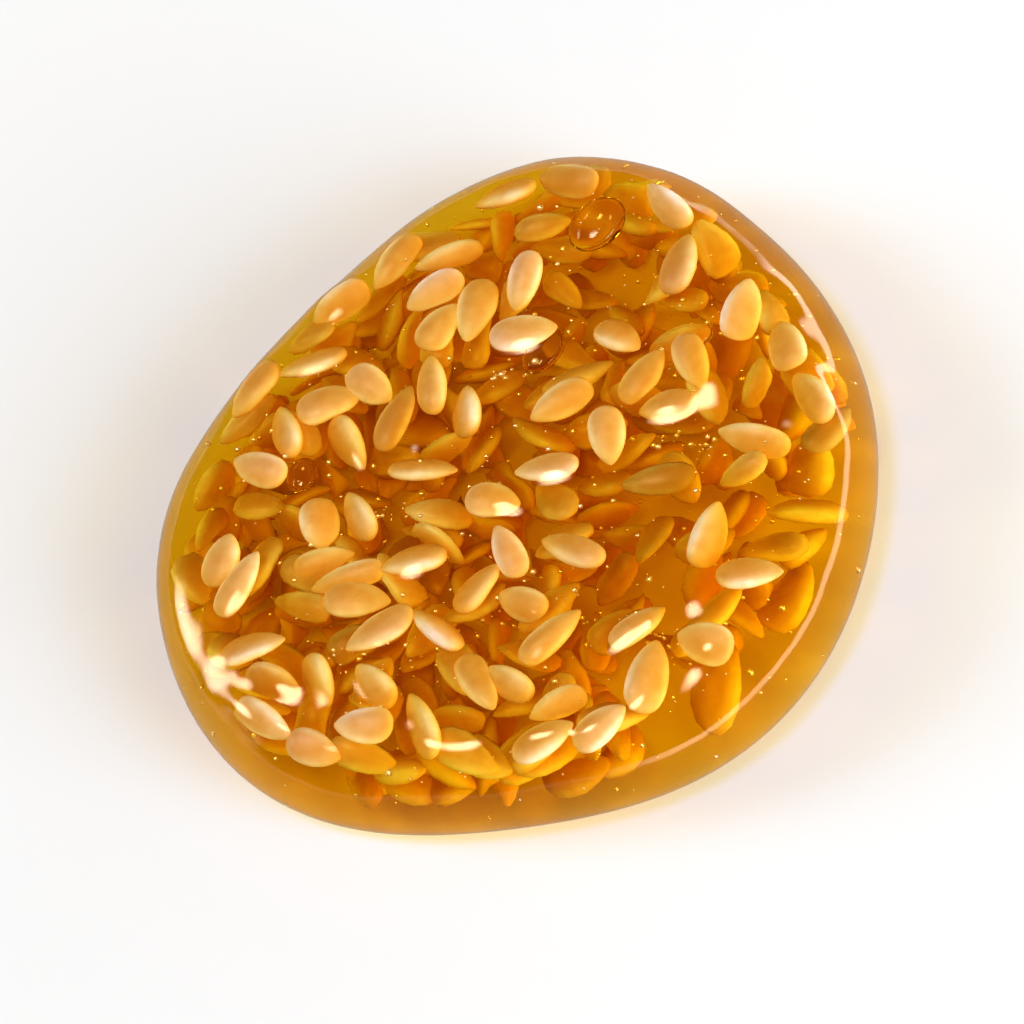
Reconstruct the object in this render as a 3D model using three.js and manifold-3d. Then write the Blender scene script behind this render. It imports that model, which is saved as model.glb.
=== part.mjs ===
// A sesame brittle disc: a poured round of clear amber boiled sugar, set on a flat sheet, so that it has
// a flat underside, a bulging wall and a rounded shoulder. Hulled sesame seeds are set in the sugar. The
// ones at the top lie under a thin skin of it and stand up as small humps, and they are fused to the sugar.
// Millimetres, +Z up, origin under the middle of the disc on the face that it rests on.

import * as THREE from 'three';
import { mergeVertices } from 'three/addons/utils/BufferGeometryUtils.js';
import Module from 'manifold-3d';

// Driving dimensions of the disc.
const discRadius = 17.5;
const discThickness = 5.3;
const topCrown = 0.25;
const shoulderWidth = 3;
const lowerEdgeWidth = 1.3;
const wallMiddleHeight = 1.9;
const sugarColour = 0xcf8428;
const sugarRoughness = 0.08;

// The poured outline isn't quite round: each entry swells the radius by a share, in a number of lobes.
const outlineLobes = [
  { lobes: 2, swell: 0.02, towards: 28 },
  { lobes: 3, swell: 0.045, towards: 52 },
  { lobes: 4, swell: 0.006, towards: -38 },
  { lobes: 5, swell: 0.014, towards: -10 },
];

// The top is gently wavy: waves this high, this long and running this way.
const topWaves = [
  { height: 0.1, length: 13, heading: 20, start: 0.4 },
  { height: 0.08, length: 9, heading: 100, start: 2.1 },
  { height: 0.06, length: 7, heading: 155, start: 4.0 },
];

// Smooth low lumps of sugar on the top: the middle, the radius and the height of each. A lump is the cap of
// a flattened ball, which is sunk by a number of the lump's heights.
const sugarLumps = [
  { x: 4.5, y: -11.6, radius: 2.2, height: 0.66 },
  { x: -5.2, y: -12.6, radius: 1.5, height: 0.3 },
  { x: 10.8, y: -1.4, radius: 1.9, height: 0.6 },
  { x: 12.6, y: -5.2, radius: 1.6, height: 0.5 },
  { x: -9.6, y: -8.6, radius: 1.6, height: 0.5 },
  { x: -2.6, y: 4.6, radius: 1.6, height: 0.45 },
];
const lumpSink = 2;
const lumpSides = 20;
const lumpBands = 16;

// The smoothness of the faceted disc.
const stepsRound = 60;
const stepsInShoulder = 5;
const stepsInLowerEdge = 3;
const topRings = [0.7, 0.55, 0.4, 0.2];

// Driving dimensions of a seed, with how far each may differ from the mean.
const seedLength = 3.2;
const seedWidth = 1.62;
const seedDepth = 0.95;
const seedSpread = 0.16;
const seedTaper = 0.22;
const seedPoint = 0.2;
const seedSides = 8;
const seedBands = 5;

// How the seeds lie: the least and most that their backs stand above the sugar, how far they lean along
// and roll about their length in degrees, how near the rim and each other they come, and how far a seed on
// the shoulder may turn from lying along the rim.
const leastBackHeight = 0.2;
const mostBackHeight = 0.42;
const seedLean = 7;
const seedRoll = 55;
const seedInset = 1.9;
const seedSpacing = 0.68;
const turnOnShoulder = 30;
const seedTries = 230;
const drawStart = 20731;

// Seeds lie further apart towards one side of the disc, where the clear sugar shows.
const clearSideHeading = -34;
const clearSideFrom = 0.05;
const clearSideTo = 0.9;
const clearSideSpacing = 1.1;

// Patches of clear sugar that no seed of the top layer has its middle in.
const barePatches = [
  { x: 3.7, y: -7.9, radius: 3 },
  { x: 10.4, y: -9.6, radius: 2.6 },
  { x: 0.4, y: 1.2, radius: 2.2 },
  { x: 9.9, y: 9.8, radius: 2.5 },
  { x: -0.8, y: 11.6, radius: 2 },
  { x: -7.8, y: 6.4, radius: 2.2 },
  { x: -1.4, y: -12, radius: 1.8 },
  { x: -4.5, y: -16, radius: 2 },
  { x: 0.5, y: -17, radius: 3 },
  { x: 6.5, y: -15.5, radius: 3 },
];

const radians = (degrees) => (degrees * Math.PI) / 180;

// Repeatable draws between 0 and 1, by a linear congruential rule.
function drawsFrom(start) {
  let state = start >>> 0;
  return () => {
    state = (Math.imul(state, 1664525) + 1013904223) >>> 0;
    return state / 4294967296;
  };
}

// How far the outline reaches at an angle, as a share of the disc's radius.
function outlineShare(angle) {
  let share = 1;
  for (const { lobes, swell, towards } of outlineLobes) {
    share += swell * Math.cos(lobes * (angle - radians(towards)));
  }
  return share;
}

// How much the top stands above its mean height at a place.
function waveAt(x, y) {
  let rise = 0;
  for (const { height, length, heading, start } of topWaves) {
    const along = x * Math.cos(radians(heading)) + y * Math.sin(radians(heading));
    rise += height * Math.sin((2 * Math.PI * along) / length + start);
  }
  return rise;
}

// The height of the plain disc at a reach from its middle, before the waves: crown, then shoulder.
function plainHeight(reach) {
  const crown = discThickness - topCrown * (reach / discRadius) ** 2;
  const over = Math.max(reach - (discRadius - shoulderWidth), 0) / shoulderWidth;
  return wallMiddleHeight + (crown - wallMiddleHeight) * Math.sqrt(Math.max(1 - over ** 2, 0));
}

// The height of the sugar's top and shoulder above a place.
function topHeight(x, y) {
  const reach = Math.hypot(x, y) / outlineShare(Math.atan2(y, x));
  return plainHeight(reach) + waveAt(x, y);
}

// The way that the sugar's top faces at a place.
function topNormal(x, y) {
  const step = 0.2;
  return new THREE.Vector3(
    (topHeight(x - step, y) - topHeight(x + step, y)) / (2 * step),
    (topHeight(x, y - step) - topHeight(x, y + step)) / (2 * step),
    1,
  ).normalize();
}

// The disc's section, from the middle of its underside round to the middle of its top, as [radius, height].
function sectionPoints() {
  const points = [new THREE.Vector2(0, 0)];
  for (let i = 0; i <= stepsInLowerEdge; i += 1) {
    const turn = (i / stepsInLowerEdge) * (Math.PI / 2);
    const reach = discRadius - lowerEdgeWidth * (1 - Math.sin(turn));
    points.push(new THREE.Vector2(reach, wallMiddleHeight * (1 - Math.cos(turn))));
  }
  for (let i = 1; i <= stepsInShoulder; i += 1) {
    const turn = (i / stepsInShoulder) * (Math.PI / 2);
    const reach = discRadius - shoulderWidth * (1 - Math.cos(turn));
    points.push(new THREE.Vector2(reach, plainHeight(reach)));
  }
  for (const share of topRings) {
    points.push(new THREE.Vector2(discRadius * share, plainHeight(discRadius * share)));
  }
  points.push(new THREE.Vector2(0, discThickness));
  return points;
}

// Joins the shared corners of a geometry and drops the faces that this closes up.
function weld(geometry) {
  geometry.deleteAttribute('normal');
  geometry.deleteAttribute('uv');
  const welded = mergeVertices(geometry, 1e-4);
  const index = welded.index.array;
  const faces = [];
  for (let i = 0; i < index.length; i += 3) {
    const [a, b, c] = [index[i], index[i + 1], index[i + 2]];
    if (a !== b && b !== c && c !== a) {
      faces.push(a, b, c);
    }
  }
  welded.setIndex(faces);
  return welded;
}

// The disc of sugar: a turned section, pushed out to the uneven outline, with its top made wavy.
function sugarDisc() {
  const geometry = weld(new THREE.LatheGeometry(sectionPoints(), stepsRound));
  geometry.rotateX(Math.PI / 2);
  const position = geometry.getAttribute('position');
  for (let i = 0; i < position.count; i += 1) {
    const share = outlineShare(Math.atan2(position.getY(i), position.getX(i)));
    const x = position.getX(i) * share;
    const y = position.getY(i) * share;
    const height = position.getZ(i);
    const wave = height > wallMiddleHeight ? waveAt(x, y) : 0;
    position.setXYZ(i, x, y, height + wave);
  }
  return geometry;
}

// A sesame seed lying along X: a flattened egg with one end drawn out to a blunt point.
function seedShape({ length, width, depth }) {
  const geometry = weld(new THREE.SphereGeometry(1, seedSides, seedBands));
  geometry.rotateZ(-Math.PI / 2);
  const position = geometry.getAttribute('position');
  for (let i = 0; i < position.count; i += 1) {
    const along = position.getX(i);
    const fullness = 1 - seedTaper * along - seedPoint * along ** 3;
    position.setXYZ(
      i,
      (along * length) / 2,
      (position.getY(i) * fullness * width) / 2,
      (position.getZ(i) * fullness * depth) / 2,
    );
  }
  return geometry;
}

// How far apart the seeds lie at a place, as a share of their width, wider towards the clear side.
function spacingAt(x, y) {
  const heading = radians(clearSideHeading);
  const towards = (x * Math.cos(heading) + y * Math.sin(heading)) / discRadius;
  const clearness = THREE.MathUtils.smoothstep(towards, clearSideFrom, clearSideTo);
  return THREE.MathUtils.lerp(seedSpacing, clearSideSpacing, clearness);
}

function inBarePatch(x, y) {
  return barePatches.some((patch) => Math.hypot(x - patch.x, y - patch.y) < patch.radius);
}

// The middles of three circles that together cover a seed seen from above.
function seedCircles({ x, y, heading, length, width }) {
  const reach = (length - width) / 2;
  return [-reach, 0, reach].map((along) => ({
    x: x + along * Math.cos(heading),
    y: y + along * Math.sin(heading),
    radius: width / 2,
  }));
}

function seedsCrowd(one, other) {
  const spacing = Math.max(one.spacing, other.spacing);
  return one.circles.some((a) =>
    other.circles.some(
      (b) => Math.hypot(a.x - b.x, a.y - b.y) < (a.radius + b.radius) * spacing,
    ),
  );
}

// Scatters the seeds of the top layer over the disc, none crowding another or lying in a clear patch.
function scatterSeeds() {
  const draw = drawsFrom(drawStart);
  const either = () => 2 * draw() - 1;
  const vary = (mean) => mean * (1 + seedSpread * either());
  const seeds = [];
  for (let i = 0; i < seedTries; i += 1) {
    const angle = 2 * Math.PI * draw();
    const reach = (discRadius - seedInset) * Math.sqrt(draw());
    const onShoulder = reach > discRadius - shoulderWidth;
    const turn = either();
    const seed = {
      x: reach * outlineShare(angle) * Math.cos(angle),
      y: reach * outlineShare(angle) * Math.sin(angle),
      heading: onShoulder ? angle + Math.PI / 2 + radians(turnOnShoulder) * turn : Math.PI * turn,
      length: vary(seedLength),
      width: vary(seedWidth),
      depth: vary(seedDepth),
      lean: radians(seedLean) * either(),
      roll: radians(seedRoll) * either(),
      backHeight: leastBackHeight + (mostBackHeight - leastBackHeight) * draw(),
    };
    seed.circles = seedCircles(seed);
    seed.spacing = spacingAt(seed.x, seed.y);
    const hasRoom = !seeds.some((other) => seedsCrowd(seed, other));
    if (hasRoom && !inBarePatch(seed.x, seed.y)) {
      seeds.push(seed);
    }
  }
  return seeds;
}

// A seed set in the top of the disc, so that only its back stands out of the sugar.
function placedSeed(seed) {
  const geometry = seedShape(seed);
  geometry.rotateX(seed.roll);
  geometry.rotateY(seed.lean);
  geometry.rotateZ(seed.heading);
  const normal = topNormal(seed.x, seed.y);
  const upright = new THREE.Vector3(0, 0, 1);
  geometry.applyQuaternion(new THREE.Quaternion().setFromUnitVectors(upright, normal));
  const middle = new THREE.Vector3(seed.x, seed.y, topHeight(seed.x, seed.y));
  const rolledWidth = seed.width * Math.sin(seed.roll);
  const rolledDepth = seed.depth * Math.cos(seed.roll);
  middle.addScaledVector(normal, seed.backHeight - Math.hypot(rolledWidth, rolledDepth) / 2);
  geometry.translate(middle.x, middle.y, middle.z);
  return geometry;
}

// A lump of sugar: a flattened ball, sunk so that only its cap stands out of the top.
function placedLump({ x, y, radius, height }) {
  const geometry = weld(new THREE.SphereGeometry(1, lumpSides, lumpBands));
  geometry.rotateX(Math.PI / 2);
  const shareSunk = lumpSink / (lumpSink + 1);
  const ballRadius = radius / Math.sqrt(1 - shareSunk ** 2);
  geometry.scale(ballRadius, ballRadius, height * (lumpSink + 1));
  geometry.translate(0, 0, -height * lumpSink);
  const upright = new THREE.Vector3(0, 0, 1);
  geometry.applyQuaternion(new THREE.Quaternion().setFromUnitVectors(upright, topNormal(x, y)));
  geometry.translate(x, y, topHeight(x, y));
  return geometry;
}

const wasm = await Module();
wasm.setup();

function toSolid(geometry) {
  return new wasm.Manifold(
    new wasm.Mesh({
      numProp: 3,
      vertProperties: new Float32Array(geometry.getAttribute('position').array),
      triVerts: new Uint32Array(geometry.index.array),
    }),
  );
}

function toGeometry(solid) {
  const { vertProperties, triVerts } = solid.getMesh();
  const geometry = new THREE.BufferGeometry();
  geometry.setAttribute('position', new THREE.Float32BufferAttribute(vertProperties, 3));
  geometry.setIndex(Array.from(triVerts));
  geometry.computeVertexNormals();
  return geometry;
}

// The disc with its lumps and seeds fused on, moved so that the origin is under the middle of its box.
function seededDisc() {
  let solid = toSolid(sugarDisc());
  for (const lump of sugarLumps) {
    solid = solid.add(toSolid(placedLump(lump)));
  }
  for (const seed of scatterSeeds()) {
    solid = solid.add(toSolid(placedSeed(seed)));
  }
  const geometry = toGeometry(solid);
  geometry.computeBoundingBox();
  const middle = geometry.boundingBox.getCenter(new THREE.Vector3());
  geometry.translate(-middle.x, -middle.y, 0);
  return geometry;
}

const brittle = new THREE.Mesh(
  seededDisc(),
  new THREE.MeshStandardMaterial({ color: sugarColour, roughness: sugarRoughness, metalness: 0 }),
);
brittle.name = 'sesame_brittle';

const sesameBrittleDisc = new THREE.Group();
sesameBrittleDisc.add(brittle);

export default sesameBrittleDisc;
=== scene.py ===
# A sesame brittle disc: clear amber boiled sugar, with hulled sesame seeds set in it at every depth and
# fine air bubbles between them. Lengths are in metres and angles in degrees, in the CAD part's own frame.
import math

import bpy
import numpy as np
from mathutils import Matrix, Vector, noise


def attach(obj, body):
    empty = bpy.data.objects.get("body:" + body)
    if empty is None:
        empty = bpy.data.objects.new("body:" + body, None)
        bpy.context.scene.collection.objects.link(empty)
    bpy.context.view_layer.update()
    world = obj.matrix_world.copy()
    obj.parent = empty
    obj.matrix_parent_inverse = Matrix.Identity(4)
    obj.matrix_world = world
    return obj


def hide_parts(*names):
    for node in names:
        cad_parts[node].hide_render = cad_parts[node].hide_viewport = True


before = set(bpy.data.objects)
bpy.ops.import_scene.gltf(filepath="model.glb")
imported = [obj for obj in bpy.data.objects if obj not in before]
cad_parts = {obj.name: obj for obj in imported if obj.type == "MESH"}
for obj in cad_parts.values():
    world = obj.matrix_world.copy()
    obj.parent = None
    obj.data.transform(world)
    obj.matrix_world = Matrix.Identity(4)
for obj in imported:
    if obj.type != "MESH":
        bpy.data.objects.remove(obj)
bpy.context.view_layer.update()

scene = bpy.context.scene
millimetre = 0.001

# The poured disc, in the sizes of the CAD solid, so that the two have one form. A lobe is a count, a swell
# and a heading. A wave of the top is a height, a length, a heading and where it starts.
disc = {
    "node": "sesame_brittle",
    "radius": 17.5 * millimetre,
    "thickness": 5.3 * millimetre,
    "topCrown": 0.25 * millimetre,
    "shoulderWidth": 3 * millimetre,
    "lowerEdgeWidth": 1.3 * millimetre,
    "wallMiddleHeight": 1.9 * millimetre,
    "lobes": [(2, 0.02, 28), (3, 0.045, 52), (4, 0.006, -38), (5, 0.014, -10)],
    "waves": [
        (0.1 * millimetre, 13 * millimetre, 20, 0.4),
        (0.08 * millimetre, 9 * millimetre, 100, 2.1),
        (0.06 * millimetre, 7 * millimetre, 155, 4.0),
    ],
}


def outlineShare(angle):
    # how far the uneven outline reaches at an angle, as a share of the radius
    share = 1.0
    for lobes, swell, towards in disc["lobes"]:
        share = share + swell * np.cos(lobes * (angle - math.radians(towards)))
    return share


def waveAt(x, y):
    # how much the top stands above its mean height at a place
    rise = 0.0
    for height, length, heading, start in disc["waves"]:
        along = x * math.cos(math.radians(heading)) + y * math.sin(math.radians(heading))
        rise = rise + height * np.sin(2 * math.pi * along / length + start)
    return rise


def plainHeight(reach):
    # the height of the disc at a reach from its middle, before the waves: crown, then shoulder
    crown = disc["thickness"] - disc["topCrown"] * (reach / disc["radius"]) ** 2
    over = np.maximum(reach - (disc["radius"] - disc["shoulderWidth"]), 0) / disc["shoulderWidth"]
    middle = disc["wallMiddleHeight"]
    return middle + (crown - middle) * np.sqrt(np.maximum(1 - over**2, 0))


def topHeight(x, y):
    return plainHeight(np.hypot(x, y) / outlineShare(np.arctan2(y, x))) + waveAt(x, y)


def topNormal(x, y, step=0.2 * millimetre):
    acrossX = (topHeight(x - step, y) - topHeight(x + step, y)) / (2 * step)
    acrossY = (topHeight(x, y - step) - topHeight(x, y + step)) / (2 * step)
    return Vector((acrossX, acrossY, 1)).normalized()


def wallReach(height):
    # how far out the wall stands at a height, before the outline's lobes
    middle = disc["wallMiddleHeight"]
    if height < middle:
        width, share = disc["lowerEdgeWidth"], (middle - height) / middle
    else:
        top = disc["thickness"] - disc["topCrown"]
        width, share = disc["shoulderWidth"], (height - middle) / (top - middle)
    return disc["radius"] - width * (1 - math.sqrt(max(1 - share**2, 0)))


def outlineMiddle():
    # the middle of the outline's box, which the CAD solid is centred on
    angle = np.linspace(0, 2 * math.pi, 361)
    reach = disc["radius"] * outlineShare(angle)
    x, y = reach * np.cos(angle), reach * np.sin(angle)
    return Vector(((x.min() + x.max()) / 2, (y.min() + y.max()) / 2, 0))


# The seeds. Those of the top layer are drawn by the CAD solid's own rule, so that each lies where it does
# there. "back" is how far a seed's back stands above the sugar's top, least and most.
seeds = {
    "length": 3.2 * millimetre,
    "width": 1.62 * millimetre,
    "depth": 0.95 * millimetre,
    "spread": 0.16,
    "taper": 0.22,
    "point": 0.2,
    "turnOnShoulder": 30,
    "spacing": 0.68,
    "clearHeading": -34,  # the side where seeds lie further apart and the clear sugar shows
    "clearFrom": 0.05,
    "clearTo": 0.9,
    "clearSpacing": 1.1,
    # the middle and radius of each patch of clear sugar that seeds near the top keep out of
    "barePatches": [
        (3.7 * millimetre, -7.9 * millimetre, 3 * millimetre),
        (10.4 * millimetre, -9.6 * millimetre, 2.6 * millimetre),
        (0.4 * millimetre, 1.2 * millimetre, 2.2 * millimetre),
        (9.9 * millimetre, 9.8 * millimetre, 2.5 * millimetre),
        (-0.8 * millimetre, 11.6 * millimetre, 2 * millimetre),
        (-7.8 * millimetre, 6.4 * millimetre, 2.2 * millimetre),
        (-1.4 * millimetre, -12 * millimetre, 1.8 * millimetre),
    ],
    # and of those at the rim that no seed comes into
    "bareRim": [
        (-4.5 * millimetre, -16 * millimetre, 2 * millimetre),
        (0.5 * millimetre, -17 * millimetre, 3 * millimetre),
        (6.5 * millimetre, -15.5 * millimetre, 3 * millimetre),
    ],
    "wallGap": 0.2 * millimetre,
    "skin": (0.02 * millimetre, 0.45 * millimetre),  # of sugar over the back of a seed of the top layer
    "topLayer": {
        "start": 20731, "tries": 230, "keepsClear": True,
        "inset": 1.9 * millimetre, "lean": 7, "roll": 55, "back": (0.2 * millimetre, 0.42 * millimetre),
    },
    "deepLayers": [
        {
            "start": 311, "tries": 90, "keepsClear": True,
            "inset": 1 * millimetre, "lean": 20, "roll": 60,
            "back": (-1.3 * millimetre, -0.5 * millimetre),
        },
        {
            "start": 907, "tries": 220, "keepsClear": False,
            "inset": 0.8 * millimetre, "lean": 24, "roll": 60,
            "back": (-2.1 * millimetre, -1.5 * millimetre),
        },
        {
            "start": 1523, "tries": 420, "keepsClear": False,
            "inset": 0.8 * millimetre, "lean": 22, "roll": 60,
            "back": (-3.1 * millimetre, -2.6 * millimetre),
        },
        {
            "start": 2207, "tries": 700, "keepsClear": False,
            "inset": 0.9 * millimetre, "lean": 8, "roll": 30,
            "back": (-3.95 * millimetre, -3.6 * millimetre),
        },
    ],
    "topFaces": {"Sides": 20, "Bands": 16},
    "deepFaces": {"Sides": 10, "Bands": 7},
    "topLookStart": 77,
    "deepLookStart": 78,
}
drawRule = {"multiplier": 1664525, "step": 1013904223, "range": 4294967296}


def drawsFrom(start):
    # repeatable draws between 0 and 1, by a linear congruential rule
    state = start
    while True:
        state = (state * drawRule["multiplier"] + drawRule["step"]) % drawRule["range"]
        yield state / drawRule["range"]


def eitherWay(draws):
    # a draw between -1 and 1
    return 2 * next(draws) - 1


def smoothstep(value, low, high):
    share = min(max((value - low) / (high - low), 0), 1)
    return share * share * (3 - 2 * share)


def spacingAt(x, y):
    heading = math.radians(seeds["clearHeading"])
    towards = (x * math.cos(heading) + y * math.sin(heading)) / disc["radius"]
    clearness = smoothstep(towards, seeds["clearFrom"], seeds["clearTo"])
    return seeds["spacing"] + (seeds["clearSpacing"] - seeds["spacing"]) * clearness


def inBarePatch(x, y, keepsClear):
    patches = seeds["bareRim"] + (seeds["barePatches"] if keepsClear else [])
    return any(math.hypot(x - middleX, y - middleY) < radius for middleX, middleY, radius in patches)


def staysInside(seed, middle):
    # whether both tips of a sunken seed keep clear of the wall and of the underside
    half = seed["length"] / 2
    drop = abs(math.sin(seed["lean"])) * half + seed["halfHeight"]
    if middle.z - drop < seeds["wallGap"]:
        return False
    for side in (-1, 1):
        x = middle.x + side * half * math.cos(seed["heading"])
        y = middle.y + side * half * math.sin(seed["heading"])
        reach = math.hypot(x, y) / outlineShare(math.atan2(y, x))
        if reach > wallReach(middle.z) - seeds["wallGap"]:
            return False
    return True


def drawSeed(layer, draws):
    # one seed of a layer: where it lies, how large it is and how it is turned
    angle = 2 * math.pi * next(draws)
    reach = (disc["radius"] - layer["inset"]) * math.sqrt(next(draws))
    onShoulder = reach > disc["radius"] - disc["shoulderWidth"]
    turn = eitherWay(draws)
    along = angle + math.pi / 2 + math.radians(seeds["turnOnShoulder"]) * turn
    least, most = layer["back"]
    seed = {
        "x": reach * outlineShare(angle) * math.cos(angle),
        "y": reach * outlineShare(angle) * math.sin(angle),
        "heading": along if onShoulder else math.pi * turn,
        "length": seeds["length"] * (1 + seeds["spread"] * eitherWay(draws)),
        "width": seeds["width"] * (1 + seeds["spread"] * eitherWay(draws)),
        "depth": seeds["depth"] * (1 + seeds["spread"] * eitherWay(draws)),
        "lean": math.radians(layer["lean"]) * eitherWay(draws),
        "roll": math.radians(layer["roll"]) * eitherWay(draws),
        "back": least + (most - least) * next(draws),
    }
    seed["halfHeight"] = math.hypot(
        seed["width"] / 2 * math.sin(seed["roll"]), seed["depth"] / 2 * math.cos(seed["roll"])
    )
    return seed


def circlesOf(seed):
    # three circles along a seed, each with its middle, its radius and the room that it asks for there
    arm = (seed["length"] - seed["width"]) / 2
    spacing = spacingAt(seed["x"], seed["y"])
    return np.array([
        (
            seed["x"] + share * arm * math.cos(seed["heading"]),
            seed["y"] + share * arm * math.sin(seed["heading"]),
            seed["width"] / 2,
            spacing,
        )
        for share in (-1, 0, 1)
    ])


def scatterSeeds(layer):
    # seeds of one layer over the disc, none crowding another; sunken ones must fit inside the sugar
    draws = drawsFrom(layer["start"])
    kept, circles = [], np.empty((0, 4))
    for _ in range(layer["tries"]):
        seed = drawSeed(layer, draws)
        if inBarePatch(seed["x"], seed["y"], layer["keepsClear"]):
            continue
        own = circlesOf(seed)
        apart = np.hypot(own[:, None, 0] - circles[:, 0], own[:, None, 1] - circles[:, 1])
        room = (own[:, None, 2] + circles[:, 2]) * np.maximum(own[:, None, 3], circles[:, 3])
        if (apart < room).any():
            continue
        normal = topNormal(seed["x"], seed["y"])
        middle = Vector((seed["x"], seed["y"], topHeight(seed["x"], seed["y"])))
        middle += normal * (seed["back"] - seed["halfHeight"])
        if seed["back"] < 0:  # a sunken seed lies level and has to fit
            normal = Vector((0, 0, 1))
            if not staysInside(seed, middle):
                continue
        circles = np.vstack([circles, own])
        kept.append(seed | {"normal": normal, "middle": middle})
    return kept


def turnOf(seed):
    # a seed's turning from lying along X: rolled, leant, headed, then tilted with the surface it lies on
    tilt = Vector((0, 0, 1)).rotation_difference(seed["normal"]).to_matrix()
    headed = Matrix.Rotation(seed["heading"], 3, "Z")
    leant = Matrix.Rotation(seed["lean"], 3, "Y")
    return tilt @ headed @ leant @ Matrix.Rotation(seed["roll"], 3, "X")


topSeeds = scatterSeeds(seeds["topLayer"])
deepSeeds = [scatterSeeds(layer) for layer in seeds["deepLayers"]]
print("seeds placed:", len(topSeeds), "at the top and", [len(layer) for layer in deepSeeds], "below")


# Small builders for node trees.
def addNode(tree, kind, place=(0, 0), **settings):
    node = tree.nodes.new(kind)
    node.location = place
    for name, value in settings.items():
        setattr(node, name, value)
    return node


def newTree(name, kind, inputs, outputs):
    # inputs and outputs are lists of a name, a socket kind and, for an input, a starting value
    tree = bpy.data.node_groups.new(name, kind)
    for title, socketKind, *value in inputs:
        socket = tree.interface.new_socket(title, in_out="INPUT", socket_type=socketKind)
        if value:
            socket.default_value = value[0]
    for title, socketKind in outputs:
        tree.interface.new_socket(title, in_out="OUTPUT", socket_type=socketKind)
    return tree, addNode(tree, "NodeGroupInput", (-900, 0)), addNode(tree, "NodeGroupOutput", (1300, 0))


def maths(tree, operation, first, second, place=(0, 0)):
    node = addNode(tree, "ShaderNodeMath", place, operation=operation)
    for socket, value in zip(node.inputs, (first, second)):
        if isinstance(value, bpy.types.NodeSocket):
            tree.links.new(value, socket)
        else:
            socket.default_value = value
    return node.outputs[0]


def placesMesh(name, places):
    # a mesh of bare points that carries how each copy is turned and sized, and its tone
    mesh = bpy.data.meshes.new(name)
    mesh.from_pydata([place["middle"] for place in places], [], [])
    for title, kind, field in (
        ("turn", "FLOAT_VECTOR", "vector"), ("size", "FLOAT_VECTOR", "vector"), ("tone", "FLOAT", "value")
    ):
        attribute = mesh.attributes.new(title, kind, "POINT")
        values = np.array([place[title] for place in places], dtype=np.float32)
        attribute.data.foreach_set(field, values.ravel())
    piece = bpy.data.objects.new(name, mesh)
    scene.collection.objects.link(piece)
    return piece


def namedAttribute(tree, title, kind, place):
    node = addNode(tree, "GeometryNodeInputNamedAttribute", place, data_type=kind)
    node.inputs["Name"].default_value = title
    return node.outputs["Attribute"]


def copyOntoPlaces(tree, groupInput, groupOutput, shape):
    # the end that both trees share: a copy on each point, turned, sized, made real and given its material
    link = tree.links.new
    onPoints = addNode(tree, "GeometryNodeInstanceOnPoints", (300, 0))
    realize = addNode(tree, "GeometryNodeRealizeInstances", (500, 0))
    smooth = addNode(tree, "GeometryNodeSetShadeSmooth", (700, 0))
    finish = addNode(tree, "GeometryNodeSetMaterial", (900, 0))
    link(groupInput.outputs["Places"], onPoints.inputs["Points"])
    link(shape, onPoints.inputs["Instance"])
    link(namedAttribute(tree, "turn", "FLOAT_VECTOR", (100, -200)), onPoints.inputs["Rotation"])
    link(namedAttribute(tree, "size", "FLOAT_VECTOR", (100, -350)), onPoints.inputs["Scale"])
    link(onPoints.outputs[0], realize.inputs[0])
    link(realize.outputs[0], smooth.inputs[0])
    link(smooth.outputs[0], finish.inputs["Geometry"])
    link(groupInput.outputs["Material"], finish.inputs["Material"])
    link(finish.outputs[0], groupOutput.inputs["Geometry"])


def storeValue(tree, shape, title, value, place):
    store = addNode(tree, "GeometryNodeStoreNamedAttribute", place, data_type="FLOAT", domain="POINT")
    store.inputs["Name"].default_value = title
    tree.links.new(shape, store.inputs["Geometry"])
    valueInput = next(socket for socket in store.inputs if socket.name == "Value" and socket.enabled)
    tree.links.new(value, valueInput)
    return store.outputs[0]


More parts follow.
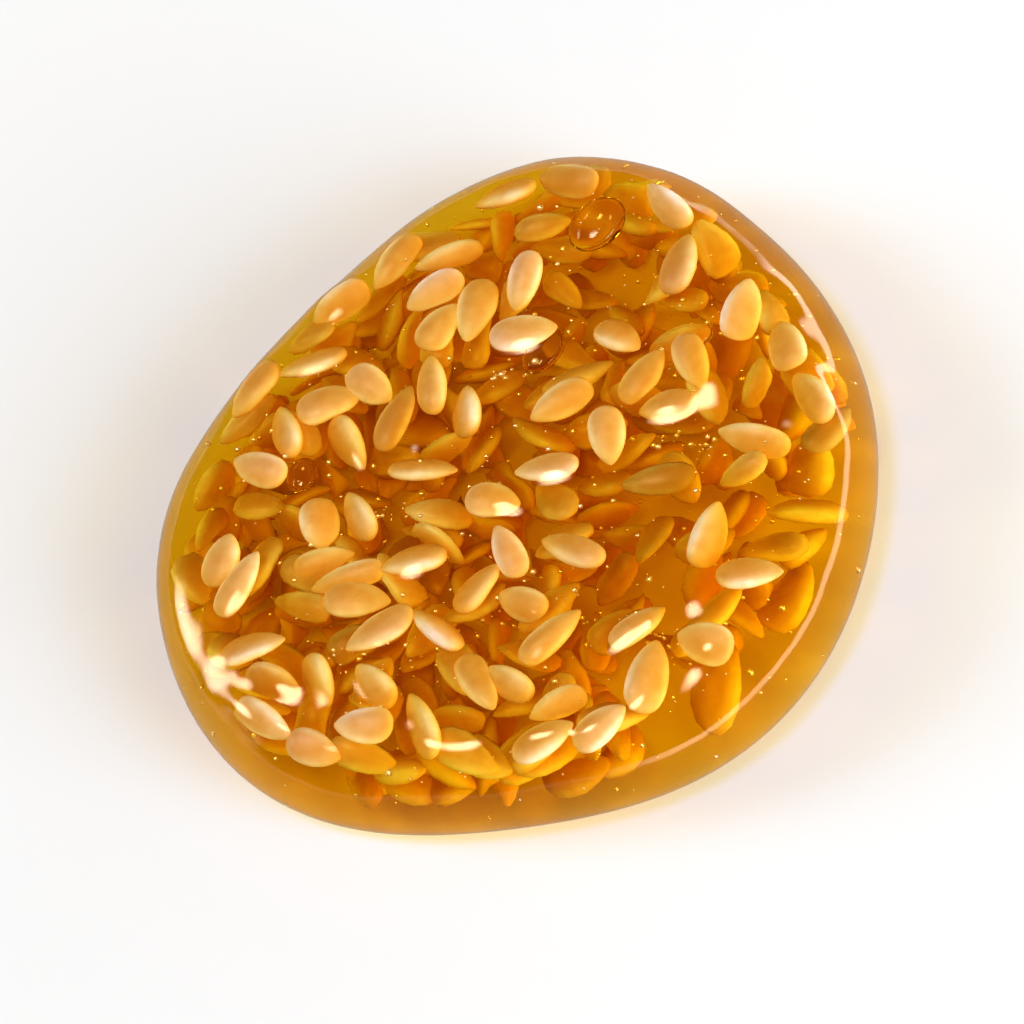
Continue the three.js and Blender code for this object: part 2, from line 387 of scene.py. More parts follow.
def seedTree():
    # a seed is a sphere drawn out along X, fuller at one end, then copied onto every place
    tree, groupInput, groupOutput = newTree(
        "seedsInSugar",
        "GeometryNodeTree",
        [
            ("Places", "NodeSocketGeometry"),
            ("Sides", "NodeSocketInt", 16),
            ("Bands", "NodeSocketInt", 10),
            ("Taper", "NodeSocketFloat", 0.2),
            ("Point", "NodeSocketFloat", 0.2),
            ("Material", "NodeSocketMaterial"),
        ],
        [("Geometry", "NodeSocketGeometry")],
    )
    link = tree.links.new
    sphere = addNode(tree, "GeometryNodeMeshUVSphere", (-650, 100))
    link(groupInput.outputs["Sides"], sphere.inputs["Segments"])
    link(groupInput.outputs["Bands"], sphere.inputs["Rings"])
    sphere.inputs["Radius"].default_value = 1
    position = addNode(tree, "GeometryNodeInputPosition", (-700, -100))
    parts = addNode(tree, "ShaderNodeSeparateXYZ", (-550, -100))
    link(position.outputs[0], parts.inputs[0])
    narrowing = maths(tree, "MULTIPLY", parts.outputs["Z"], groupInput.outputs["Taper"], (-400, -250))
    cubed = maths(tree, "POWER", parts.outputs["Z"], 3, (-550, -400))
    sharpening = maths(tree, "MULTIPLY", cubed, groupInput.outputs["Point"], (-400, -400))
    bothEnds = maths(tree, "ADD", narrowing, sharpening, (-300, -350))
    fullness = maths(tree, "SUBTRACT", 1, bothEnds, (-250, -250))
    across = maths(tree, "MULTIPLY", parts.outputs["X"], fullness, (-100, -100))
    upright = maths(tree, "MULTIPLY", parts.outputs["Y"], fullness, (-100, -250))
    drawn = addNode(tree, "ShaderNodeCombineXYZ", (0, 0))
    for source, socket in zip((parts.outputs["Z"], across, upright), drawn.inputs):
        link(source, socket)
    shaped = addNode(tree, "GeometryNodeSetPosition", (150, 100))
    link(sphere.outputs["Mesh"], shaped.inputs["Geometry"])
    link(drawn.outputs[0], shaped.inputs["Position"])
    # how far along the seed a point is, and how near its thin edge, are kept for its colours; the darker
    # edge colour is partly painted shade
    flatwise = addNode(tree, "ShaderNodeCombineXYZ", (-400, 400))
    link(parts.outputs["X"], flatwise.inputs["X"])
    link(parts.outputs["Z"], flatwise.inputs["Z"])
    edge = addNode(tree, "ShaderNodeVectorMath", (-200, 400), operation="LENGTH")
    link(flatwise.outputs[0], edge.inputs[0])
    shape = storeValue(tree, shaped.outputs[0], "along", parts.outputs["Z"], (150, 300))
    shape = storeValue(tree, shape, "edge", edge.outputs["Value"], (150, 500))
    copyOntoPlaces(tree, groupInput, groupOutput, shape)
    return tree


def bubbleTree():
    tree, groupInput, groupOutput = newTree(
        "bubblesInSugar",
        "GeometryNodeTree",
        [
            ("Places", "NodeSocketGeometry"),
            ("Roundness", "NodeSocketInt", 2),
            ("Material", "NodeSocketMaterial"),
        ],
        [("Geometry", "NodeSocketGeometry")],
    )
    ball = addNode(tree, "GeometryNodeMeshIcoSphere", (-300, 0))
    ball.inputs["Radius"].default_value = 1
    tree.links.new(groupInput.outputs["Roundness"], ball.inputs["Subdivisions"])
    copyOntoPlaces(tree, groupInput, groupOutput, ball.outputs["Mesh"])
    return tree


def growOnPlaces(piece, tree, settings):
    # runs a tree on a piece's places and leaves a plain mesh behind
    modifier = piece.modifiers.new(tree.name, "NODES")
    modifier.node_group = tree
    for title, value in settings.items():
        modifier[tree.interface.items_tree[title].identifier] = value
    grown = piece.evaluated_get(bpy.context.evaluated_depsgraph_get())
    mesh = bpy.data.meshes.new_from_object(grown)
    piece.modifiers.clear()
    piece.data = mesh
    mesh.name = piece.name
    return piece


# Materials.
def newMaterial(name):
    material = bpy.data.materials.new(name)
    material.use_nodes = True
    tree = material.node_tree
    tree.nodes.clear()
    return material, tree, addNode(tree, "ShaderNodeOutputMaterial", (900, 0))


def unevennessGroup():
    # slow, patchy change over a surface between two values, and a fine relief to go with it
    tree, groupInput, groupOutput = newTree(
        "unevenness",
        "ShaderNodeTree",
        [
            ("Scale", "NodeSocketFloat", 1000),
            ("Least", "NodeSocketFloat", 0),
            ("Most", "NodeSocketFloat", 1),
            ("Relief", "NodeSocketFloat", 0.1),
            ("Relief height", "NodeSocketFloat", 0.00005),
        ],
        [("Amount", "NodeSocketFloat"), ("Normal", "NodeSocketVector")],
    )
    link = tree.links.new
    place = addNode(tree, "ShaderNodeTexCoord", (-700, 0))
    patches = addNode(tree, "ShaderNodeTexNoise", (-500, 0))
    patches.inputs["Detail"].default_value = 3
    link(place.outputs["Object"], patches.inputs["Vector"])
    link(groupInput.outputs["Scale"], patches.inputs["Scale"])
    spread = addNode(tree, "ShaderNodeMapRange", (-250, 0))
    spread.inputs["From Min"].default_value = 0.3
    spread.inputs["From Max"].default_value = 0.7
    link(patches.outputs["Fac"], spread.inputs["Value"])
    link(groupInput.outputs["Least"], spread.inputs["To Min"])
    link(groupInput.outputs["Most"], spread.inputs["To Max"])
    relief = addNode(tree, "ShaderNodeBump", (-250, -300))
    link(patches.outputs["Fac"], relief.inputs["Height"])
    link(groupInput.outputs["Relief"], relief.inputs["Strength"])
    link(groupInput.outputs["Relief height"], relief.inputs["Distance"])
    link(spread.outputs["Result"], groupOutput.inputs["Amount"])
    link(relief.outputs["Normal"], groupOutput.inputs["Normal"])
    return tree


unevenness = unevennessGroup()


def addUnevenness(tree, place, values):
    node = addNode(tree, "ShaderNodeGroup", place)
    node.node_tree = unevenness
    for title, value in values.items():
        node.inputs[title].default_value = value
    return node


def letLampsThrough(tree, shader, output, rays=("Is Shadow Ray", "Is Diffuse Ray"), colour=(1, 1, 1, 1)):
    # rays to the lamps, and light that has bounced off a seed, go straight through, tinted on the way
    path = addNode(tree, "ShaderNodeLightPath", (300, 400))
    for place, title in enumerate(rays):
        clear = addNode(tree, "ShaderNodeBsdfTransparent", (500 + 200 * place, 300))
        clear.inputs["Color"].default_value = colour
        mix = addNode(tree, "ShaderNodeMixShader", (600 + 200 * place, 100))
        tree.links.new(path.outputs[title], mix.inputs["Fac"])
        tree.links.new(shader, mix.inputs[1])
        tree.links.new(clear.outputs[0], mix.inputs[2])
        shader = mix.outputs[0]
    tree.links.new(shader, output.inputs["Surface"])


# How fast the sugar takes each colour out of the light, per metre.
sugarLook = {
    "takesRed": 38,
    "takesGreen": 119,
    "takesBlue": 860,
    "ior": 1.46,
    "mirrorTint": (1, 0.7, 0.4, 1),
    "roughness": {"Least": 0.0, "Most": 0.04},
    "relief": {"Scale": 450, "Relief": 0.25, "Relief height": 0.04 * millimetre},
}


def sugarMaterial():
    material, tree, output = newMaterial("amberSugar")
    glass = addNode(tree, "ShaderNodeBsdfPrincipled", (300, 0))
    glass.inputs["Base Color"].default_value = (1, 1, 1, 1)
    glass.inputs["Transmission Weight"].default_value = 1
    glass.inputs["IOR"].default_value = sugarLook["ior"]
    glass.inputs["Specular Tint"].default_value = sugarLook["mirrorTint"]
    surface = addUnevenness(tree, (0, 0), sugarLook["roughness"] | sugarLook["relief"])
    tree.links.new(surface.outputs["Amount"], glass.inputs["Roughness"])
    tree.links.new(surface.outputs["Normal"], glass.inputs["Normal"])
    depth = addNode(tree, "ShaderNodeVolumeAbsorption", (300, -500))
    density = sugarLook["takesBlue"]
    depth.inputs["Density"].default_value = density
    depth.inputs["Color"].default_value = (
        1 - sugarLook["takesRed"] / density, 1 - sugarLook["takesGreen"] / density, 0, 1,
    )
    tree.links.new(depth.outputs[0], output.inputs["Volume"])
    letLampsThrough(tree, glass.outputs[0], output)
    return material


# The seeds' colours, from the palest to the few brown ones, near the top and deep down: the deep-down set
# is painted darker and yellower, as painted shade of the sugar and seeds above it. A seed's tip is darker
# than its back. Its edge is darker and more golden, partly from the thin hull's own colour and partly as
# painted shade of the deeper sugar over the edge. A seed lets a share of the lamps' light through.
seedColours = {
    "nearTop": {
        "pale": (0.92, 0.74, 0.69, 1),
        "gold": (0.91, 0.66, 0.44, 1),
        "brown": (0.74, 0.48, 0.28, 1),
    },
    # painted shade: the deeper seeds are coloured darker and yellower to stand in for the shade and the
    # sugar above them
    "deepDown": {
        "pale": (0.86, 0.68, 0.46, 1),
        "gold": (0.76, 0.56, 0.32, 1),
        "brown": (0.58, 0.4, 0.22, 1),
    },
}
seedLook = {
    "goldAt": 0.9,  # of the seeds are paler than the gold
    "brownFrom": 0.98,
    "stain": (0.93, 0.8, 0.55, 1),
    "tip": (0.9, 0.72, 0.45, 1),
    "tipFrom": 0.3,  # of half the seed's length
    # the edge colour: partly the thin hull's own colour, partly painted shade of the deeper sugar over the
    # seed's edge
    "edge": (0.86, 0.67, 0.4, 1),
    "edgeFrom": 0.45,  # of half the seed's width
    "passes": (0.8, 0.75, 0.45, 1),
    "roughness": 0.42,
    "shine": 0.2,
    "relief": {"Scale": 1500, "Least": 0, "Most": 1, "Relief": 0.5, "Relief height": 0.05 * millimetre},
}


def addMultiply(tree, factor, first, second, place):
    # colours multiplied: factor and first are sockets and second is a colour
    node = addNode(tree, "ShaderNodeMix", place, data_type="RGBA", blend_type="MULTIPLY")
    colourInputs = [socket for socket in node.inputs if socket.type == "RGBA"]
    tree.links.new(factor, node.inputs["Factor"])
    tree.links.new(first, colourInputs[0])
    colourInputs[1].default_value = second
    return next(socket for socket in node.outputs if socket.type == "RGBA")


def seedMaterial(name):
    look = seedColours[name]
    material, tree, output = newMaterial("seed" + name[0].upper() + name[1:])
    skin = addNode(tree, "ShaderNodeBsdfPrincipled", (500, 0))
    skin.inputs["Roughness"].default_value = seedLook["roughness"]
    skin.inputs["Specular IOR Level"].default_value = seedLook["shine"]
    tone = addNode(tree, "ShaderNodeAttribute", (-700, 200), attribute_name="tone")
    colours = addNode(tree, "ShaderNodeValToRGB", (-500, 200))
    ramp = colours.color_ramp
    ramp.elements[0].color = look["pale"]
    ramp.elements[1].position = seedLook["goldAt"]
    ramp.elements[1].color = look["gold"]
    ramp.elements.new(seedLook["brownFrom"]).color = look["brown"]
    tree.links.new(tone.outputs["Fac"], colours.inputs["Fac"])
    patches = addUnevenness(tree, (-500, -200), seedLook["relief"])
    stained = addMultiply(
        tree, patches.outputs["Amount"], colours.outputs["Color"], seedLook["stain"], (-200, 200)
    )
    along = addNode(tree, "ShaderNodeAttribute", (-200, -100), attribute_name="along")
    nearTip = addNode(tree, "ShaderNodeMapRange", (0, -100), interpolation_type="SMOOTHSTEP")
    nearTip.inputs["From Min"].default_value = seedLook["tipFrom"]
    tree.links.new(along.outputs["Fac"], nearTip.inputs["Value"])
    tipped = addMultiply(tree, nearTip.outputs["Result"], stained, seedLook["tip"], (200, 100))
    # darker, more golden edge: partly the hull's own colour, partly painted shade of the deeper sugar over
    # the edge
    outward = addNode(tree, "ShaderNodeAttribute", (0, -400), attribute_name="edge")
    nearEdge = addNode(tree, "ShaderNodeMapRange", (200, -400), interpolation_type="SMOOTHSTEP")
    nearEdge.inputs["From Min"].default_value = seedLook["edgeFrom"]
    tree.links.new(outward.outputs["Fac"], nearEdge.inputs["Value"])
    edged = addMultiply(tree, nearEdge.outputs["Result"], tipped, seedLook["edge"], (350, 200))
    tree.links.new(edged, skin.inputs["Base Color"])
    tree.links.new(patches.outputs["Normal"], skin.inputs["Normal"])
    letLampsThrough(tree, skin.outputs[0], output, ["Is Shadow Ray"], seedLook["passes"])
    return material


airLook = {
    "speck": (0.95, 0.8, 0.66, 1),
    "speckMetal": 0.9,
    "speckRoughness": 0.35,
    "hollow": (1, 0.9, 0.75, 1),
    "hollowIor": 1.4,
}


def speckMaterial():
    # a speck of air in sugar shines like a silvery bead
    material, tree, output = newMaterial("airSpeck")
    wall = addNode(tree, "ShaderNodeBsdfPrincipled", (300, 0))
    wall.inputs["Base Color"].default_value = airLook["speck"]
    wall.inputs["Metallic"].default_value = airLook["speckMetal"]
    wall.inputs["Roughness"].default_value = airLook["speckRoughness"]
    letLampsThrough(tree, wall.outputs[0], output)
    return material


def hollowMaterial():
    material, tree, output = newMaterial("airHollow")
    wall = addNode(tree, "ShaderNodeBsdfPrincipled", (300, 0))
    wall.inputs["Base Color"].default_value = airLook["hollow"]
    wall.inputs["Transmission Weight"].default_value = 1
    wall.inputs["Roughness"].default_value = 0
    wall.inputs["IOR"].default_value = airLook["hollowIor"]
    letLampsThrough(tree, wall.outputs[0], output)
    return material


# The sugar, as rings of points: up the middle of the underside, round the edge and in over the top.
sugar = {
    "stepsRound": 360,
    "undersideRings": 16,
    "undersideSink": 0.01 * millimetre,  # the sugar clings to what it lies on, with no air between
    "lowerEdgeRings": 10,
    "shoulderRings": 26,
    "topRings": 82,
    "humpReach": 1.2,  # of a seed's own length and width
    "humpShape": 2.5,
    "humpDepth": 2 * millimetre,  # how far from a seed the sugar is still lifted by it
    "humpBlend": 3,  # the higher, the more sharply one hump meets the next
    # the middle, radius and height of each smooth lump, in millimetres, as on the CAD solid
    "lumps": [
        (4.5, -11.6, 2.2, 0.66), (-5.2, -12.6, 1.5, 0.3), (10.8, -1.4, 1.9, 0.6),
        (12.6, -5.2, 1.6, 0.5), (-9.6, -8.6, 1.6, 0.5), (-2.6, 4.6, 1.6, 0.45),
    ],
    "ripples": [(0.022 * millimetre, 2.8 * millimetre), (0.01 * millimetre, 1.0 * millimetre)],
}


def sectionRings():
    radius = disc["radius"]
    lowerStart = radius - disc["lowerEdgeWidth"]
    reach = [lowerStart * share for share in np.linspace(0, 1, sugar["undersideRings"])[1:]]
    height = [-sugar["undersideSink"]] * len(reach)
    for turn in np.linspace(0, math.pi / 2, sugar["lowerEdgeRings"])[1:]:
        reach.append(radius - disc["lowerEdgeWidth"] * (1 - math.sin(turn)))
        height.append(disc["wallMiddleHeight"] * (1 - math.cos(turn)))
    for turn in np.linspace(0, math.pi / 2, sugar["shoulderRings"])[1:]:
        reach.append(radius - disc["shoulderWidth"] * (1 - math.cos(turn)))
        height.append(plainHeight(reach[-1]))
    for share in np.linspace(1, 0, sugar["topRings"])[1:-1]:
        reach.append((radius - disc["shoulderWidth"]) * share)
        height.append(plainHeight(reach[-1]))
    return np.array(reach), np.array(height)


def humpsOver(points):
    # how far the sugar's skin is lifted over the seeds of the top layer and over the lumps
    total = np.zeros(points.shape[:-1])
    blend = sugar["humpBlend"]
    for seed in topSeeds:
        turn = np.array(turnOf(seed | {"roll": 0}))
        away = points - np.array(seed["middle"])
        along = away @ turn[:, 0] / (seed["length"] / 2 * sugar["humpReach"])
        across = away @ turn[:, 1] / (seed["width"] / 2 * sugar["humpReach"])
        near = np.hypot(along, across)
        lift = seed["back"] * np.exp(-(near ** sugar["humpShape"]))
        lift[np.abs(away @ turn[:, 2]) > sugar["humpDepth"]] = 0
        total += lift**blend
    for x, y, radius, height in sugar["lumps"]:
        near = np.hypot(points[..., 0] - x * millimetre, points[..., 1] - y * millimetre)
        near /= radius * millimetre
        lift = height * millimetre * np.exp(-(near ** sugar["humpShape"]))
        total += lift**blend
    return total ** (1 / blend)


def sugarPoints():
    # the rings of points, with the waves, the humps, the lumps and the ripples of the top
    reach, height = sectionRings()
    angle = np.arange(sugar["stepsRound"]) * 2 * math.pi / sugar["stepsRound"]
    spread = reach[:, None] * outlineShare(angle)[None, :]
    points = np.stack(
        [spread * np.cos(angle), spread * np.sin(angle), np.repeat(height[:, None], len(angle), 1)], -1
    )
    upper = height > disc["wallMiddleHeight"]
    points[upper, :, 2] += waveAt(points[upper, :, 0], points[upper, :, 1])
    # ways across the grid give the normals that the humps rise along
    aroundWay = np.roll(points, -1, 1) - np.roll(points, 1, 1)
    upWay = np.gradient(points, axis=0)
    normals = np.cross(aroundWay, upWay)
    normals /= np.linalg.norm(normals, axis=-1, keepdims=True)
    lift = humpsOver(points[upper])
    for rise, length in sugar["ripples"]:
        ripple = [noise.noise(Vector(point) / length) for point in points[upper].reshape(-1, 3)]
        lift += rise * np.array(ripple).reshape(lift.shape)
    points[upper] += normals[upper] * lift[..., None]
    return points


def facesBetween(rings, steps, low, high):
    # quads from ring to ring, closed by fans round the middle of the underside and of the top
    faces = []
    for ring in range(rings - 1):
        for step in range(steps):
            beside = (step + 1) % steps
            faces.append((
                ring * steps + step, ring * steps + beside,
                (ring + 1) * steps + beside, (ring + 1) * steps + step,
            ))
    for step in range(steps):
        beside = (step + 1) % steps
        faces.append((low, beside, step))
        faces.append((high, (rings - 1) * steps + step, (rings - 1) * steps + beside))
    return faces


def makeSugar():
    points = sugarPoints()
    rings, steps = points.shape[:2]
    corners = [tuple(point) for point in points.reshape(-1, 3)]
    low, high = len(corners), len(corners) + 1
    corners += [(0, 0, -sugar["undersideSink"]), (0, 0, points[-1, :, 2].mean())]
    mesh = bpy.data.meshes.new("amberSugar")
    mesh.from_pydata(corners, [], facesBetween(rings, steps, low, high))
    mesh.validate()
    mesh.polygons.foreach_set("use_smooth", [True] * len(mesh.polygons))
    mesh.materials.append(sugarMaterial())
    piece = bpy.data.objects.new("amberSugar", mesh)
    scene.collection.objects.link(piece)
    return piece


def seedPlaces(scattered, start):
    # adds what the copies need: how each seed is turned and sized, its tone, and the skin of sugar over it
    draws = drawsFrom(start)
    least, most = seeds["skin"]
    for seed in scattered:
        seed["tone"] = next(draws)
        seed["turn"] = turnOf(seed).to_euler()
        seed["size"] = (seed["length"] / 2, seed["width"] / 2, seed["depth"] / 2)
        if seed["back"] > 0:
            seed["middle"] -= seed["normal"] * (least + (most - least) * next(draws))
    return scattered


# Air bubbles: specks all over, some strung in trails, and a few wide flat hollows close under the top.
bubbles = {
    "start": 4801,
    "specks": 700,
    "least": 0.05 * millimetre,
    "most": 0.19 * millimetre,
    "gap": 0.12 * millimetre,
    "smallness": 3,  # the higher, the more of the specks are small
    "trailSmallness": 2,
    "trailTop": 0.3 * millimetre,  # below the top of the sugar
    "trailDepth": 1.4 * millimetre,
    # in millimetres: where each trail starts and ends, how wide it strays, and how many specks it has
    "trails": [
        ((1.2, -10.4), (3.4, -14.2), 0.6, 26),
        ((-6.5, 3.4), (-4.2, 0.6), 0.7, 20),
        ((7.0, -2.2), (9.4, -4.8), 0.8, 22),
        ((1.5, 6.0), (4.2, 4.4), 0.6, 16),
        ((-11.0, -3.0), (-9.4, -6.6), 0.7, 18),
        ((11.8, 3.2), (12.6, 0.4), 0.5, 12),
        ((-3.4, -6.2), (-0.8, -8.0), 0.6, 16),
    ],
    # the middle, width, length, heading and depth below the top of each hollow, in millimetres
    "hollows": [
        ((9.9, 9.8), 2.5, 3.1, 20, 0.7),
        ((10.2, 1.2), 2.0, 3.2, -15, 0.8),
        ((4.6, 5.2), 1.9, 2.6, 35, 0.9),
        ((-8.0, 6.4), 1.5, 2.0, 60, 0.8),
    ],
    "hollowFlatness": 0.4,
    "speckRoundness": 2,
    "hollowRoundness": 5,
}


def speckAt(x, y, height, size):
    # a speck, or nothing where it would break out of the sugar
    reach = math.hypot(x, y) / outlineShare(math.atan2(y, x))
    clear = bubbles["gap"] + size
    if height < clear or height > topHeight(x, y) - clear or reach > wallReach(height) - clear:
        return []
    return [{"middle": (x, y, height), "turn": (0, 0, 0), "size": (size, size, size), "tone": 0.0}]


def speckPlaces():
    draws = drawsFrom(bubbles["start"])
    spread = bubbles["most"] - bubbles["least"]
    places = []
    while len(places) < bubbles["specks"]:
        angle = 2 * math.pi * next(draws)
        reach = disc["radius"] * math.sqrt(next(draws)) * outlineShare(angle)
        height = disc["thickness"] * math.sqrt(next(draws))
        size = bubbles["least"] + spread * next(draws) ** bubbles["smallness"]
        places += speckAt(reach * math.cos(angle), reach * math.sin(angle), height, size)
    for start, end, straying, count in bubbles["trails"]:
        for _ in range(count):
            along = next(draws)
            x, y = [
                (first + (last - first) * along + straying * eitherWay(draws)) * millimetre
                for first, last in zip(start, end)
            ]
            height = topHeight(x, y) - bubbles["trailTop"] - bubbles["trailDepth"] * next(draws)
            size = bubbles["least"] + spread * next(draws) ** bubbles["trailSmallness"]
            places += speckAt(x, y, height, size)
    return places


def hollowPlaces():
    places = []
    for (x, y), width, length, heading, depth in bubbles["hollows"]:
        x, y = x * millimetre, y * millimetre
        half = width / 2 * millimetre
        turn = Vector((0, 0, 1)).rotation_difference(topNormal(x, y)).to_matrix()
        turn = turn @ Matrix.Rotation(math.radians(heading), 3, "Z")
        places.append({
            "middle": (x, y, topHeight(x, y) - depth * millimetre),
            "turn": turn.to_euler(),
            "size": (length / 2 * millimetre, half, half * bubbles["hollowFlatness"]),
            "tone": 0.0,
        })
    return places


topPlaces = seedPlaces(topSeeds, seeds["topLookStart"])
deepPlaces = seedPlaces([seed for layer in deepSeeds for seed in layer], seeds["deepLookStart"])

sugarPiece = makeSugar()
print("sugar made:", len(sugarPiece.data.polygons), "faces")

seedsTree = seedTree()
seedForm = {"Taper": seeds["taper"], "Point": seeds["point"]}
topSeedPiece = growOnPlaces(
    placesMesh("seedsAtTop", topPlaces), seedsTree,
    seeds["topFaces"] | seedForm | {"Material": seedMaterial("nearTop")},
)
# the deeper seeds take the copy of the colours with painted shade
deepSeedPiece = growOnPlaces(
    placesMesh("seedsBelow", deepPlaces), seedsTree,
    seeds["deepFaces"] | seedForm | {"Material": seedMaterial("deepDown")},
)
bubblesTree = bubbleTree()
speckPiece = growOnPlaces(
    placesMesh("airSpecks", speckPlaces()), bubblesTree,
    {"Roundness": bubbles["speckRoundness"], "Material": speckMaterial()},
)
hollowPiece = growOnPlaces(
    placesMesh("airHollows", hollowPlaces()), bubblesTree,
    {"Roundness": bubbles["hollowRoundness"], "Material": hollowMaterial()},
)
print("seeds and bubbles made")

# Everything was made about the disc's own middle: the meshes are moved to where the CAD solid stands.
shift = Matrix.Translation(-outlineMiddle())
inSlots = {
    "sugar": [sugarPiece, speckPiece, hollowPiece],
    "seeds": [topSeedPiece, deepSeedPiece],
}
for piece in sum(inSlots.values(), []):
    piece.data.transform(shift)
    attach(piece, "root")
    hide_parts(disc["node"])

# The floor, the camera and the lights.
stage = {
    "floorSide": 5.0,
    "floorColour": (0.88, 0.88, 0.88, 1),
    "floorRoughness": 0.7,
    "floorShine": 0.1,
    "cameraRise": 53,  # degrees above the floor
    "cameraRoll": 31.75,
    "cameraDistance": 0.6,
    "framedWidth": 0.0475,
}


def makeFloor():
    half = stage["floorSide"] / 2
    mesh = bpy.data.meshes.new("floor")
    corners = [(-half, -half, 0), (half, -half, 0), (half, half, 0), (-half, half, 0)]
    mesh.from_pydata(corners, [], [(0, 1, 2, 3)])
    material, tree, output = newMaterial("paleFloor")
    card = addNode(tree, "ShaderNodeBsdfPrincipled", (300, 0))
    card.inputs["Base Color"].default_value = stage["floorColour"]
    card.inputs["Roughness"].default_value = stage["floorRoughness"]
    card.inputs["Specular IOR Level"].default_value = stage["floorShine"]
    tree.links.new(card.outputs[0], output.inputs["Surface"])
    mesh.materials.append(material)
    floor = bpy.data.objects.new("floor", mesh)
    floor.visible_glossy = False  # the sugar's wall mirrors the dim world below instead of the bright floor
    scene.collection.objects.link(floor)


def makeCamera():
    rise, roll = math.radians(stage["cameraRise"]), math.radians(stage["cameraRoll"])
    away = Vector((0, -math.cos(rise), math.sin(rise)))
    right, up = Vector((1, 0, 0)), Vector((0, math.sin(rise), math.cos(rise)))
    turnedRight = math.cos(roll) * right - math.sin(roll) * up
    turnedUp = math.sin(roll) * right + math.cos(roll) * up
    aim = Vector((0, 0, disc["thickness"] / 2))
    data = bpy.data.cameras.new("camera")
    data.sensor_width = 36
    data.lens = data.sensor_width * stage["cameraDistance"] / stage["framedWidth"]
    data.clip_start = 0.01
    camera = bpy.data.objects.new("camera", data)
    turn = Matrix((turnedRight, turnedUp, away)).transposed().to_4x4()
    camera.matrix_world = Matrix.Translation(aim + away * stage["cameraDistance"]) @ turn
    scene.collection.objects.link(camera)
    scene.camera = camera


# The way to each light from the disc, how wide it is and how bright. The overhead lamp lights the disc and
# the floor, the wall fill lights the near wall, and the spark lights nothing: the sugar only mirrors it.
studio = {
    "lampDistance": 2,
    "lamps": {
        "overhead": {
            "towards": (-0.2, 0, 0.975), "width": 0.6, "glow": 18, "lights": True, "mirrored": False,
        },
        "spark": {
            "towards": (-0.2, 0.05, 0.97), "width": 0.9, "glow": 34, "lights": False, "mirrored": True,
        },
        "wallFill": {
            "towards": (0.5, -0.8, 0.34), "width": 1.2, "glow": 12, "lights": True, "mirrored": False,
        },
    },
    "softEdge": (0.1, 0.5),  # where the spark starts to fade and where it ends, as shares of its width
    # a soft round glow of the sky, and a long low strip of light round the viewer's right, with the
    # heights, as a direction's sine, between which it fades in and out
    "glow": {"towards": (-0.72, 0.57, 0.4), "spread": 15, "glow": 20},
    "strip": {
        "towards": (0.85, -0.53, 0),
        "reach": 86,
        "fade": 0.3,
        "fadesIn": (0.0, 0.05),
        "fadesOut": (0.14, 0.21),
        "glow": 9.5,
    },
    "horizon": 1,
    "horizonTop": 0.1,  # the height, as a direction's sine, where the pale horizon has faded out
    "zenith": 0.02,
    "below": 0.4,
    "belowFade": 0.03,
}


def fadeBetween(tree, value, ends, amounts, place):
    fade = addNode(tree, "ShaderNodeMapRange", place, interpolation_type="SMOOTHSTEP")
    fade.inputs["From Min"].default_value, fade.inputs["From Max"].default_value = ends
    fade.inputs["To Min"].default_value, fade.inputs["To Max"].default_value = amounts
    tree.links.new(value, fade.inputs["Value"])
    return fade.outputs["Result"]


def softenEdge(data):
    # a lamp that is brightest in its middle and fades out towards its edge, as a soft box does
    data.use_nodes = True
    tree = data.node_tree
    place = addNode(tree, "ShaderNodeNewGeometry", (-900, 0)).outputs["Parametric"]
    away = addNode(tree, "ShaderNodeVectorMath", (-700, 0), operation="DISTANCE")
    away.inputs[1].default_value = (0.5, 0.5, 0)
    tree.links.new(place, away.inputs[0])
    fade = fadeBetween(tree, away.outputs["Value"], studio["softEdge"], (1, 0), (-500, 0))
    tree.links.new(fade, tree.nodes["Emission"].inputs["Strength"])


def makeLamps():
    for name, lamp in studio["lamps"].items():
        data = bpy.data.lights.new(name, "AREA")
        data.shape = "DISK"
        data.size = lamp["width"]
        data.energy = lamp["glow"] * math.pi * math.pi * (lamp["width"] / 2) ** 2
        if lamp["mirrored"]:
            softenEdge(data)
        towards = Vector(lamp["towards"]).normalized()
        piece = bpy.data.objects.new(name, data)
        piece.location = towards * studio["lampDistance"]
        piece.rotation_euler = towards.to_track_quat("Z", "Y").to_euler()
        piece.visible_glossy = lamp["mirrored"]
        piece.visible_diffuse = lamp["lights"]
        scene.collection.objects.link(piece)


def facingAmount(tree, way, towards, height):
    # how nearly a direction points towards a light: 1 when straight at it
    facing = addNode(tree, "ShaderNodeVectorMath", (-1100, height), operation="DOT_PRODUCT")
    tree.links.new(way, facing.inputs[0])
    facing.inputs[1].default_value = Vector(towards).normalized()
    return facing.outputs["Value"]


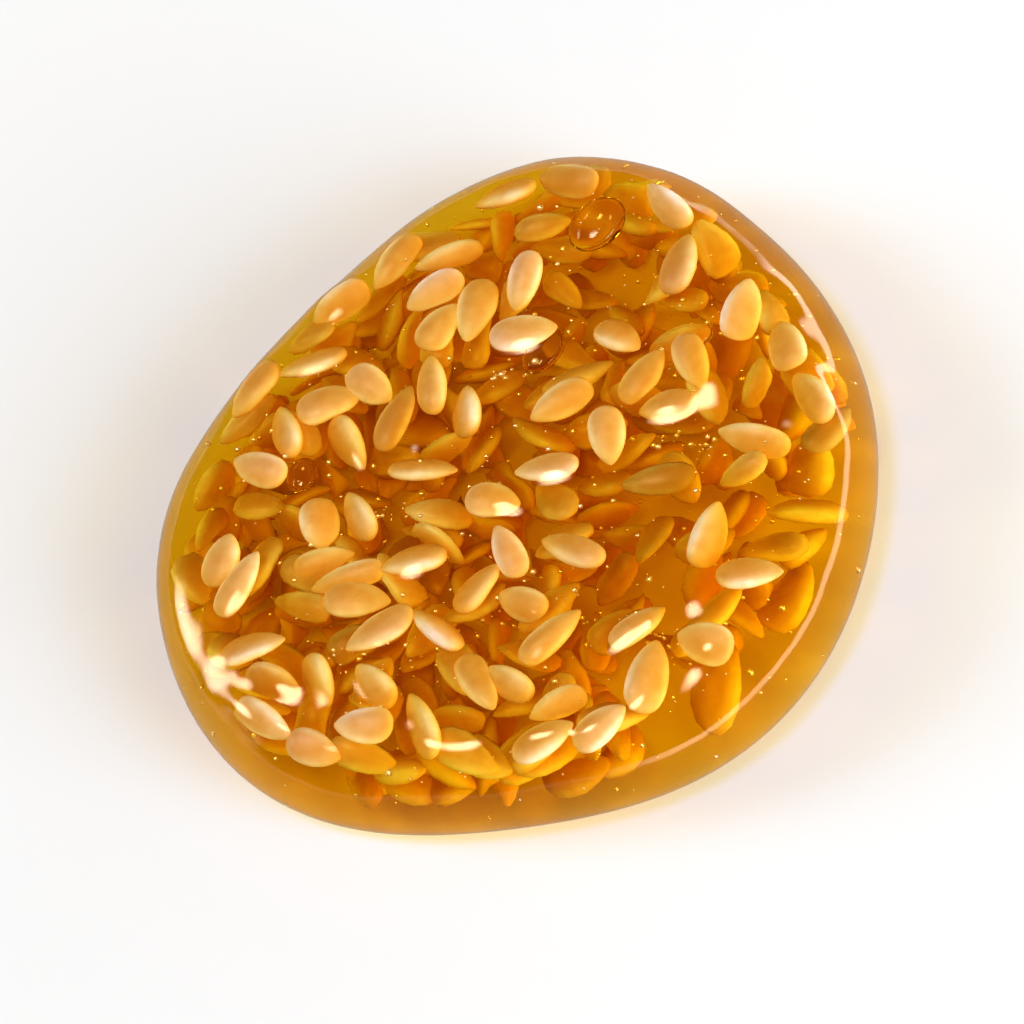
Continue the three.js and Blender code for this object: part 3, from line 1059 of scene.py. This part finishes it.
def makeWorld():
    # a dim ceiling, a pale horizon as of a sweep of card, a soft round glow and the strip
    world = bpy.data.worlds.new("studio")
    world.use_nodes = True
    tree = world.node_tree
    sky = tree.nodes["Background"]
    way = addNode(tree, "ShaderNodeTexCoord", (-1300, 0)).outputs["Generated"]
    parts = addNode(tree, "ShaderNodeSeparateXYZ", (-1100, 0))
    tree.links.new(way, parts.inputs[0])
    height = parts.outputs["Z"]
    band = fadeBetween(
        tree, height, (0, studio["horizonTop"]), (studio["horizon"], studio["zenith"]), (-900, 0)
    )
    below = fadeBetween(tree, height, (-studio["belowFade"], 0), (studio["below"], 1), (-900, 1200))
    total = maths(tree, "MULTIPLY", band, below, (-600, 200))
    glow = studio["glow"]
    facing = facingAmount(tree, way, glow["towards"], -300)
    rim = math.cos(math.radians(glow["spread"]))
    lit = fadeBetween(tree, facing, (rim, 1), (0, glow["glow"]), (-900, -300))
    total = maths(tree, "ADD", total, lit, (-600, -300))
    strip = studio["strip"]
    facing = facingAmount(tree, way, strip["towards"], 700)
    rim = math.cos(math.radians(strip["reach"]))
    lit = fadeBetween(tree, facing, (rim, rim + strip["fade"]), (0, strip["glow"]), (-900, 900))
    lower = fadeBetween(tree, height, strip["fadesIn"], (0, 1), (-900, 600))
    upper = fadeBetween(tree, height, strip["fadesOut"], (1, 0), (-900, 300))
    lit = maths(tree, "MULTIPLY", lit, lower, (-600, 700))
    lit = maths(tree, "MULTIPLY", lit, upper, (-450, 500))
    total = maths(tree, "ADD", total, lit, (-300, 300))
    tree.links.new(total, sky.inputs["Strength"])
    sky.inputs["Color"].default_value = (1, 1, 1, 1)
    scene.world = world


makeFloor()
makeCamera()
makeLamps()
makeWorld()
scene.view_settings.view_transform = "Standard"
scene.cycles.max_bounces = 16
scene.cycles.diffuse_bounces = 3
scene.cycles.transmission_bounces = 16
scene.cycles.transparent_max_bounces = 16
scene.cycles.caustics_reflective = False
scene.cycles.caustics_refractive = False
scene.cycles.use_light_tree = False
print("stage set")
